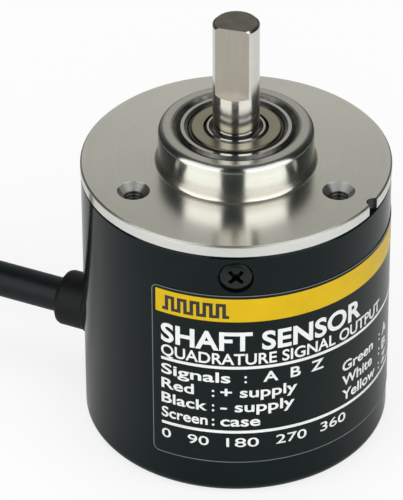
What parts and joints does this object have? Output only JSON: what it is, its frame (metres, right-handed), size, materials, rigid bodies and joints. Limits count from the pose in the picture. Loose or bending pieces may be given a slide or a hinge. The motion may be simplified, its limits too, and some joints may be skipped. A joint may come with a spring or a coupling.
{
  "type": "rotary encoder",
  "caption": "Small round shaft encoder: aluminium flange with locating boss and tapped holes, D-cut shaft, black cup case with wrapped label, side cable.",
  "frame": {"origin": "centre of the flange's mounting face, on the shaft axis", "axes": "+Z along the shaft, out of the flange; -Y is the side where the label's left part and one case screw are; the cable leaves at 155.4 degrees from +X"},
  "size_m": [0.0801, 0.0484, 0.0594],
  "materials": {
    "flange_aluminium": "satin turned",
    "shaft_steel": "ground, bright",
    "bearing_steel": "polished",
    "ball_steel": "mirror",
    "bearing_cage": "pressed",
    "bearing_shield": "pressed, lightly oiled",
    "spring_steel": "satin",
    "hub_brass": "turned",
    "set_screw_steel": "black oxide",
    "disc_steel": "etched sheet",
    "holder_plastic": "moulded",
    "screw_zinc": "zinc plated",
    "lamp_lens": "clear epoxy",
    "tinned_wire": "tinned",
    "reticle_glass": "clear",
    "ic_epoxy": "moulded epoxy",
    "board_green": "solder mask",
    "post_brass": "turned",
    "capacitor_can": "drawn",
    "chip_ceramic": "ceramic",
    "solder": "bright",
    "lead_red": "insulation",
    "lead_black": "insulation",
    "lead_green": "insulation",
    "lead_white": "insulation",
    "lead_yellow": "insulation",
    "copper": "bare stranded copper",
    "shield_braid": "braided",
    "cable_jacket": "smooth",
    "clamp_steel": "pressed",
    "bush_rubber": "moulded",
    "case_black": "gloss black",
    "case_screw": "black oxide",
    "label_film": "printed film"
  },
  "bodies": {
    "stator": {"flange": "flange_aluminium", "front_outer_ring": "bearing_steel", "front_shields": "bearing_shield", "rear_outer_ring": "bearing_steel", "rear_shields": "bearing_shield", "wave_washer": "spring_steel", "led_holder": "holder_plastic", "led_holder_screw": "screw_zinc", "led": "lamp_lens", "led_legs": "tinned_wire", "reticle": "reticle_glass", "photodetector": "ic_epoxy", "circuit_board": "board_green", "board_posts": "post_brass", "board_screws": "screw_zinc", "signal_ic": "ic_epoxy", "signal_ic_legs": "tinned_wire", "regulator": "ic_epoxy", "filter_capacitor": "capacitor_can", "chip_parts": "chip_ceramic", "solder_joints": "solder", "lead_red": "lead_red", "lead_black": "lead_black", "lead_green": "lead_green", "lead_white": "lead_white", "lead_yellow": "lead_yellow", "copper_cores": "copper", "cable_shield": "shield_braid", "cable_jacket": "cable_jacket", "cable_clamp": "clamp_steel", "cable_bush": "bush_rubber", "case": "case_black", "case_screws": "case_screw", "name_label": "label_film"},
    "rotor": {"shaft": "shaft_steel", "front_inner_ring": "bearing_steel", "rear_inner_ring": "bearing_steel", "code_hub": "hub_brass", "hub_set_screws": "set_screw_steel", "code_disc": "disc_steel", "disc_clamp_ring": "hub_brass"},
    "front_ball_set": {"front_balls": "ball_steel", "front_cage": "bearing_cage"},
    "rear_ball_set": {"rear_balls": "ball_steel", "rear_cage": "bearing_cage"}
  },
  "joints": [
    {"name": "shaft_spin", "type": "hinge", "parent": "stator", "child": "rotor", "pos_m": [0, 0, 0], "axis": [0, 0, 1], "continuous": true},
    {"name": "front_ball_set_spin", "type": "hinge", "parent": "stator", "child": "front_ball_set", "pos_m": [0, 0, 0.00245], "axis": [0, 0, 1], "continuous": true},
    {"name": "rear_ball_set_spin", "type": "hinge", "parent": "stator", "child": "rear_ball_set", "pos_m": [0, 0, -0.0117], "axis": [0, 0, 1], "continuous": true}
  ],
  "couplings": [
    {"joint": "front_ball_set_spin", "follows": "shaft_spin", "ratio": 0.3788},
    {"joint": "rear_ball_set_spin", "follows": "shaft_spin", "ratio": 0.3788}
  ]
}
